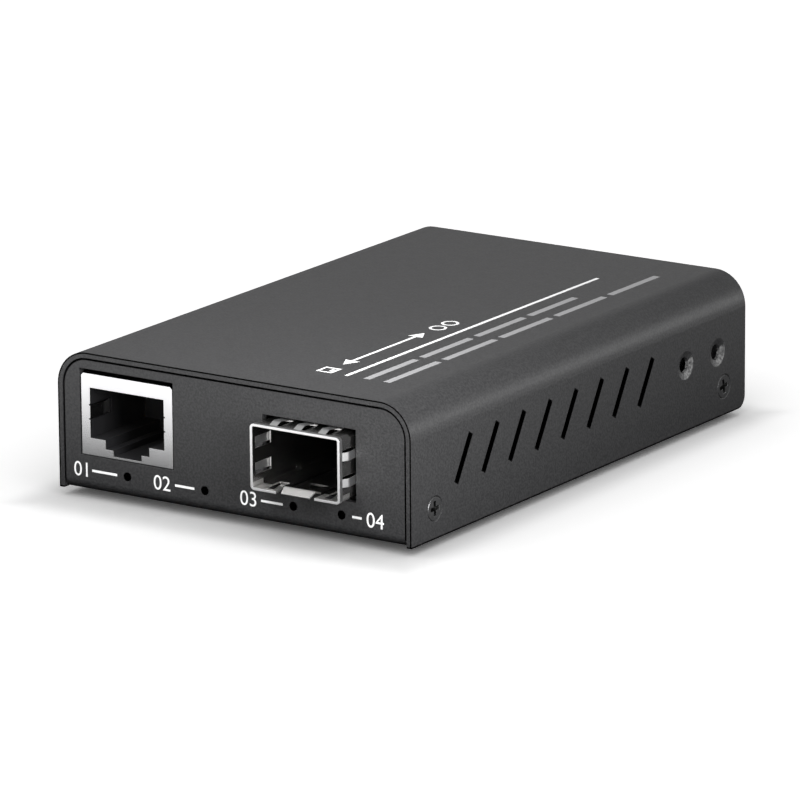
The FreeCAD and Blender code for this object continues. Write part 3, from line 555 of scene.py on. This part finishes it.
black_resin = even_finish(
    "black_resin",
    dark=(0.010, 0.010, 0.011, 1),
    light=(0.016, 0.016, 0.017, 1),
    cloud=2.0,
    roughness=0.42,
    grain=0.5,
    depth=0.01,
    strength=0.3,
    edge=0.08,
)
dress(black_resin, "jack_housing", "jack_insert")

gold = plated("gold_plate", (0.94, 0.70, 0.32), 0.22)
dress(gold, "jack_contacts")

# ---------------------------------------------------------------- module cage
# The cage for a fibre module is stamped from nickel-plated copper alloy: a shell, a floor with
# its latch tongue, and a tinned clip with bowed fingers round the rim that earths it to the
# panel. A moulded connector with gold contacts stands in its rear end.

lip_highlight_depth = 2.6             # the floor's front is painted bright this far in, as a highlight
cage_nickel = plated("cage_nickel", (0.62, 0.61, 0.60), 0.2, marks=0.04)
clip_tin = plated("clip_tin", (0.97, 0.97, 0.97), 0.3, marks=0.02, edge=0.1)
lip = Finish("lip_nickel")
# A painted highlight: the lip is lighter than the rest of the floor.
lip_highlight = lip.millimetres()[1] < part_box("cage_floor")[0].y / mm + lip_highlight_depth
lip_nickel = lip.surface(
    base_color=lip.blend(lip_highlight, (0.50, 0.49, 0.48, 1), (0.95, 0.94, 0.92, 1)),
    metallic=1.0,
    roughness=0.2 + 0.16 * lip_highlight + 0.04 * lip.noise(1.0),
    normal=lip.relief(lip.noise(0.5), 0.003, 0.05, edge=0.06),
)
dress(cage_nickel, "cage_shell")
dress(lip_nickel, "cage_floor")
dress(clip_tin, "cage_spring_clip")
dress(black_resin, "module_connector")
dress(gold, "module_connector_contacts")

# ---------------------------------------------------------------- power inlet
# A moulded inlet for a barrel plug stands at the rear, with a nickel-plated pin and a leaf
# spring that presses on the plug.

dress(black_resin, "power_inlet_housing")
dress(nickel, "power_inlet_pin", "power_inlet_spring")

# ---------------------------------------------------------------- status lights
# Four small lamps with smoked lenses are soldered below the board's front edge, each behind
# its own hole in the panel. They are dark while the part is off.

smoked_lens = even_finish(
    "smoked_lens",
    dark=(0.004, 0.004, 0.004, 1),
    light=(0.008, 0.008, 0.008, 1),
    cloud=0.5,
    roughness=0.5,
    grain=0.2,
    depth=0.01,
    strength=0.2,
)
dress(smoked_lens, *[f"status_light_{i + 1}" for i in range(4)])

# ---------------------------------------------------------------- cover
# The cover is one thinner sheet, pierced with slanted vents, folded over the top and both
# sides and coated as the tray is. Its top is printed in white and grey ink: a rule, a row of
# plain signs joined by a double arrow, and two rows of bars.

white_ink = (0.86, 0.86, 0.86, 1)
grey_ink = (0.28, 0.28, 0.285, 1)
sink_highlight = (0.20, 0.20, 0.20, 1)
cover_bend = 5.0
cover_edge_shade = 0.22           # bare rim left by the shears and the shade along the cover's front and lower edges, painted near black
cover_sheet = 0.8
face_depth = 0.02           # a place nearer than this to a face is on it
vent_first = 13.0           # first slot's middle, behind the front edge
vent_pitch = 6.78
vent_count = 8
vent_level = 9.8
vent_tilt = math.radians(30.5)
vent_half_length = 3.68
vent_half_width = 0.58
hole_rear = 7.8             # rear fixing hole, in front of the cover's rear edge
hole_spacing = 8.8
hole_level = 9.8
sink_radius = 2.05
highlight_offset = 0.9           # the painted highlight starts this far behind and below a hole's middle
highlight_slope = 0.6
highlight_grain = 0.45
highlight_contrast = 3.0
print_front = -33.4
rule_x = 13.05
rule_width = 0.6
rule_length = 65.0
sign_x = 9.3
sign_height = 2.6
sign_stroke = 0.4
sign_gap = 0.5              # between the two rings
notch_size = 1.0
arrow_gap = 2.2             # between the square and the arrow
arrow_clear = 2.1           # between the arrow and the rings
arrow_head = 2.4
arrow_slope = 0.5
shaft_width = 0.5
shaft_inset = 1.0           # the shaft ends inside the heads
sign_row_length = 33.0
bar_rows = ((16.4, 53.5, 13.8), (19.7, 70.6, 14.4))  # x, length, pitch
bar_height = 1.1
bar_gap = 1.5


def on_cover(coat):
    """The cover's bare cut edges with shade painted along them and inside the vents, and the shares
    of its two inks and of a highlight painted in the countersinks.
    """
    x, y, z = coat.millimetres()
    low, high = [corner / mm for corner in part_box("top_cover")]
    top = z > high.z - face_depth
    along = y - print_front

    def box(start, end, middle, height):
        return (along > start) * (along < end) * (abs(x - middle) < height / 2)

    def ring(centre, radius):
        away = ((along - centre) ** 2.0 + (x - sign_x) ** 2.0) ** 0.5
        return abs(away - radius) < sign_stroke / 2

    half = sign_height / 2
    inner = sign_height - 2 * sign_stroke
    square = box(0, sign_height, sign_x, sign_height)
    square = square - box(sign_stroke, sign_stroke + inner, sign_x, inner)
    half_notch = notch_size / 2
    notch = box(half - half_notch, half + half_notch, sign_x + half - half_notch, notch_size)
    start = sign_height + arrow_gap
    end = sign_row_length - 2 * sign_height - sign_gap - arrow_clear
    shaft = box(start + shaft_inset, end - shaft_inset, sign_x, shaft_width)
    off = abs(x - sign_x)
    heads = (along > start) * (along < start + arrow_head) * (off < (along - start) * arrow_slope)
    heads = heads + (along < end) * (along > end - arrow_head) * (off < (end - along) * arrow_slope)
    right = sign_row_length - half
    ring_radius = (sign_height - sign_stroke) / 2
    rings = ring(right, ring_radius) + ring(right - sign_height - sign_gap, ring_radius)
    rule = box(0, rule_length, rule_x, rule_width)
    white = (rule + square + notch + shaft + heads + rings) > 0.5
    grey = 0.0
    for row_x, length, pitch in bar_rows:
        grey = grey + box(0, length, row_x, bar_height) * ((along % pitch) < pitch - bar_gap)

    # The vents' walls, with a thin margin round each slot, and thin lines along the front and lower
    # edges are painted near black as shade.
    side_sheet = abs(x) > high.x - cover_sheet
    lift = z - (low.z + vent_level)
    lean = (y - (low.y + vent_first)) - lift * math.tan(vent_tilt)
    across = (lean + vent_pitch / 2) % vent_pitch - vent_pitch / 2
    span = abs(lift / math.cos(vent_tilt) + across * math.sin(vent_tilt))
    slot = (abs(across) * math.cos(vent_tilt) < vent_half_width) * (span < vent_half_length)
    slot = slot * (abs(lean - (vent_count - 1) * vent_pitch / 2) < vent_count * vent_pitch / 2)
    front_edge = corner_depth(x, z, high.x, high.z, cover_bend) < cover_edge_shade
    front_edge = front_edge * (y < low.y + face_depth)
    lower_edge = z < low.z + cover_edge_shade
    bare_and_shaded = (front_edge + lower_edge + slot * side_sheet) > 0.5

    # A lighter grey, in patches, is painted on the lower rear of each countersink as a highlight.
    wear_and_highlight = 0.0
    patches = coat.noise(highlight_grain, 3.0) * highlight_contrast - 1.0
    for i in range(2):
        off_y = y - (high.y - hole_rear - i * hole_spacing)
        off_z = z - (low.z + hole_level)
        away = (off_y * off_y + off_z * off_z) ** 0.5
        lower_rear = (off_y - off_z * highlight_slope) > highlight_offset
        wear_and_highlight = wear_and_highlight + (away < sink_radius) * side_sheet * lower_rear * patches
    return bare_and_shaded, [(top * white, white_ink), (top * (grey > 0.5), grey_ink), (wear_and_highlight, sink_highlight)]


dress(powder_coat("printed_powder_coat", on_cover), "top_cover")

# ---------------------------------------------------------------- cover screws
# Four countersunk machine screws with cross recesses hold the cover to the tray's lugs.
# They are cold headed and rolled from steel, and black zinc plated.

head_across = 3.6           # the solids' heads, which the set's box takes in
recess_shade_start = 0.1          # the recess is painted near black, as shade, from here inwards
crown_share = 0.94          # the head's flat, of its rim
crown_rise = 0.2            # of the rim's height
tip_share = 0.7             # of the shank
wing_share = 0.72           # the recess at the top, to a corner, of its width
wing_foot = 0.4             # and at its bottom
zinc = Finish("black_zinc")
# The recess is painted near black as the shade in it.
recess_shade = abs(zinc.millimetres()[0]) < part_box("cover_screws")[1].x / mm - recess_shade_start
wear_and_highlight = zinc.blend(zinc.noise(0.6), (0.07, 0.07, 0.072, 1), (0.13, 0.13, 0.132, 1))
black_zinc = zinc.surface(
    base_color=zinc.blend(recess_shade, wear_and_highlight, (0.01, 0.01, 0.01, 1)),
    metallic=0.8,
    roughness=0.34 + 0.08 * zinc.noise(1.0),
    normal=zinc.relief(zinc.noise(0.3), 0.01, 0.3, edge=0.05),
)
low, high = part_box("cover_screws")
screws = Pattern("recessed_screws")
head_radius = screws.size("head radius", 1.72 * mm)
rim_height = screws.size("rim height", 0.12 * mm)
head_depth = screws.size("head depth", 0.8 * mm)
shank_radius = screws.size("shank radius", 0.82 * mm)
thread_radius = screws.size("thread radius", 0.98 * mm)
screw_length = screws.size("screw length", 3.08 * mm)
thread_pitch = screws.size("thread pitch", 0.4 * mm)
recess_width = screws.size("recess width", 2.2 * mm)
recess_slot = screws.size("recess slot", 0.62 * mm)
recess_depth = screws.size("recess depth", 0.65 * mm)
span_x = screws.size("span across", high.x - low.x)
span_y = screws.size("span along", high.y - low.y - head_across * mm)
middle_y = screws.size("middle y", (low.y + high.y) / 2)
middle_z = screws.size("middle z", (low.z + high.z) / 2)
seed = screws.size("seed", 5)
blank = screws.turned(
    sides=48,
    outline=[
        (head_radius * crown_share, -rim_height * crown_rise),
        (head_radius, -rim_height),
        (shank_radius, -head_depth),
        (shank_radius, -screw_length + thread_pitch),
        (shank_radius * tip_share, -screw_length),
    ],
)
wing = screws.turned(
    sides=4,
    outline=[
        (recess_width * wing_share, thread_pitch),
        (recess_width * wing_share, 0.0),
        (recess_width * wing_foot, -recess_depth),
    ],
)
wing = screws.moved(wing, turn=(0, 0, math.pi / 4))
thin = recess_slot / recess_width
wings = [
    screws.moved(wing, scale=screws.point(1.0, thin, 1.0)),
    screws.moved(wing, scale=screws.point(thin, 1.0, 1.0)),
]
cutting = {"Mesh 1": blank, "Mesh 2": wings}
cut = screws.add("GeometryNodeMeshBoolean", {"operation": "DIFFERENCE", "solver": "EXACT"}, cutting)
turns = (screw_length - head_depth) / thread_pitch - 1.0
helix = screws.add(
    "GeometryNodeCurveSpiral",
    None,
    {
        "Resolution": 24,
        "Rotations": turns,
        "Start Radius": shank_radius,
        "End Radius": shank_radius,
        "Height": turns * thread_pitch,
        "Reverse": False,
    },
)
profile = {"Resolution": 4, "Radius": thread_radius - shank_radius}
ridge = screws.add("GeometryNodeCurvePrimitiveCircle", {"mode": "RADIUS"}, profile)
sweep = {"Curve": helix, "Profile Curve": ridge, "Fill Caps": True}
thread = screws.add("GeometryNodeCurveToMesh", None, sweep)
thread = screws.moved(thread, screws.point(z=-screw_length + thread_pitch * 0.5))
screw = screws.smooth(screws.join(cut, thread), 0.5)
screw = screws.moved(screw, turn=(0, math.pi / 2, 0))
place = screws.add("GeometryNodeInputPosition")
left = screws.add("ShaderNodeSeparateXYZ", None, {0: place}) < 0.0
chance = {"Min": -0.35, "Max": 0.35, "Seed": seed}
spin = screws.add("FunctionNodeRandomValue", {"data_type": "FLOAT"}, chance, out=1)
spread = screws.at_corners(screw, span_x, span_y, screws.point(spin, 0.0, left * math.pi))
spread = screws.moved(spread, screws.point(0.0, middle_y, middle_z))
screw_set = screws.make(spread, black_zinc, "screw_steel", "cover_screws")

# ---------------------------------------------------------------- floor, light and camera
# A pale studio floor with a shadow painted round the part, under a dome that is brighter at the
# front, with soft lamps round the part.
# The camera looks down a little on the front right corner through a long lens.

reach = 4.0                 # metres from the middle to the floor's edges
floor_tone = 0.25           # what lights the part from below
shown_tone = 1.6            # what the camera sees
shown_glow = 0.03
mirrored_tone = 2.05        # what bright pieces mirror
shade_end = 60.0            # a shadow painted close to the part, for reflections and bounce light; the floor is full from here
contact_shadow_end = 6.5           # the contact shadow painted under the part's edges ends here
contact_shadow_tone = 0.74
rear_start = -60.0          # towards the rear the floor is painted darker between these, for reflections and bounce light
rear_end = 120.0
rear_share = 0.8
rear_lean = 0.3
floor_mesh = bpy.data.meshes.new("floor")
floor_corners = [(-reach, -reach, 0), (reach, -reach, 0), (reach, reach, 0), (-reach, reach, 0)]
floor_mesh.from_pydata(floor_corners, [], [(0, 1, 2, 3)])
floor = bpy.data.objects.new("floor", floor_mesh)
scene.collection.objects.link(floor)


def rays(graph, *kinds):
    """1 for rays of any of these kinds."""
    path = graph.tree.nodes.new("ShaderNodeLightPath")
    total = 0.0
    for kind in kinds:
        total = total + Wire(graph, path.outputs[kind])
    return total > 0.5


def eased(graph, value, start, end, low=0.0, high=1.0):
    """A value carried smoothly from low to high between two places."""
    sockets = {"Value": value, "From Min": start, "From Max": end, "To Min": low, "To Max": high}
    return graph.add("ShaderNodeMapRange", {"interpolation_type": "SMOOTHSTEP"}, sockets)


pale = Finish("pale_floor")
x, y, z = pale.millimetres()
# Painted shadow: the floor's tone falls close to the part and towards the rear.
away = x.math("MAXIMUM", abs(x) - cad_box[1].x / mm, abs(y) - cad_box[1].y / mm)
behind = eased(pale, y + x * rear_lean, rear_start, rear_end)
shadow_pool = eased(pale, away, 0.0, shade_end) * (1 - behind * rear_share)
camera_share = rays(pale, "Is Camera Ray")
mirror_share = rays(pale, "Is Glossy Ray", "Is Transmission Ray")
unseen = shadow_pool * (floor_tone + mirror_share * (mirrored_tone - floor_tone))
contact_shadow = eased(pale, away, 0.0, contact_shadow_end, contact_shadow_tone, 1.0)
tone = camera_share * shown_tone * contact_shadow + (1 - camera_share) * unseen
grey = pale.add("ShaderNodeCombineColor", None, {0: tone, 1: tone, 2: tone})
matt = pale.add("ShaderNodeBsdfDiffuse", None, {"Color": grey})
sockets = {"Color": (1, 1, 1, 1), "Strength": camera_share * shown_glow}
glow = pale.add("ShaderNodeEmission", None, sockets)
pale.close(pale.add("ShaderNodeAddShader", None, {0: matt, 1: glow}))
floor_mesh.materials.append(pale.material)
floor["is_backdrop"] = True

dome_low = 0.05
dome_high = 0.9
dome_start = -0.6           # how far it faces the bright side: -1 is away, 1 is straight at it
dome_end = 0.9
bright_side = Vector((0.45, -0.55, 0.7)).normalized()
sky = bpy.data.worlds.new("studio")
scene.world = sky
sky.use_nodes = True
sky.node_tree.nodes.clear()
dome = Graph(sky.node_tree)
toward = {0: dome.add("ShaderNodeTexCoord", out="Generated"), 1: bright_side}
facing = dome.add("ShaderNodeVectorMath", {"operation": "DOT_PRODUCT"}, toward, out="Value")
shown = rays(dome, "Is Camera Ray")
strength = eased(dome, facing, dome_start, dome_end, dome_low, dome_high) * (1 - shown) + shown
backdrop = dome.add("ShaderNodeBackground", None, {"Color": (1, 1, 1, 1), "Strength": strength})
end = sky.node_tree.nodes.new("ShaderNodeOutputWorld")
sky.node_tree.links.new(backdrop.socket, end.inputs["Surface"])

lit_part = bpy.data.collections.new("lit_part")
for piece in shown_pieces():
    lit_part.objects.link(piece)
bright_plate = bpy.data.collections.new("bright_plate")
plates = [nodes[name] for name in ("jack_shield", "cage_shell", "cage_floor", "cage_spring_clip")]
for piece in plates + [screw_set]:
    bright_plate.objects.link(piece)

lamp_aim = Vector((0, 0, 0.01))


def soft_lamp(name, place, size, watts, mirrored_in=None):
    """A soft lamp that lights the part unseen, or is only mirrored in the given pieces."""
    lamp = bpy.data.lights.new(name, "AREA")
    lamp.shape = "RECTANGLE"
    lamp.size, lamp.size_y = size
    lamp.energy = watts
    held = bpy.data.objects.new(name, lamp)
    held.location = place
    held.rotation_euler = (lamp_aim - Vector(place)).to_track_quat("-Z", "Y").to_euler()
    held.visible_camera = False
    held.visible_diffuse = mirrored_in is None
    held.visible_glossy = mirrored_in is not None
    held.light_linking.receiver_collection = mirrored_in or lit_part
    scene.collection.objects.link(held)


soft_lamp("key_lamp", (0.12, -0.09, 0.045), (0.05, 0.05), 0.22)
soft_lamp("front_fill", (-0.03, -0.13, 0.12), (0.06, 0.06), 0.15)
soft_lamp("near_fill", (0.012, -0.05, 0.065), (0.03, 0.02), 0.025)
soft_lamp("key_glint", (0.13, -0.10, 0.045), (0.05, 0.05), 0.24, mirrored_in=bright_plate)
soft_lamp("front_glint", (-0.03, -0.13, 0.12), (0.06, 0.06), 0.15, mirrored_in=bright_plate)
soft_lamp("rear_strip", (0.36, 0.48, 0.07), (0.50, 0.13), 0.45, mirrored_in=lit_part)
soft_lamp("rear_panel", (-0.33, 0.49, 0.175), (0.35, 0.13), 0.10, mirrored_in=lit_part)
soft_lamp("rear_fill", (-0.05, 0.35, 0.03), (0.15, 0.06), 0.7)
soft_lamp("left_fill", (-0.35, -0.05, 0.03), (0.15, 0.06), 0.7)

camera_place = (0.51323, -0.76982, 0.25687)
camera_turn = 33.712        # degrees
camera_pitch = 15.039
camera_roll = -0.405
lens = bpy.data.cameras.new("camera")
lens.lens = 302.8
lens.sensor_width = 36.0
lens.clip_end = 20.0
camera = bpy.data.objects.new("camera", lens)
camera.matrix_world = (
    Matrix.Translation(camera_place)
    @ Matrix.Rotation(math.radians(camera_turn), 4, "Z")
    @ Matrix.Rotation(math.radians(90 - camera_pitch), 4, "X")
    @ Matrix.Rotation(math.radians(camera_roll), 4, "Z")
)
scene.collection.objects.link(camera)
scene.camera = camera
scene.view_settings.view_transform = "Standard"
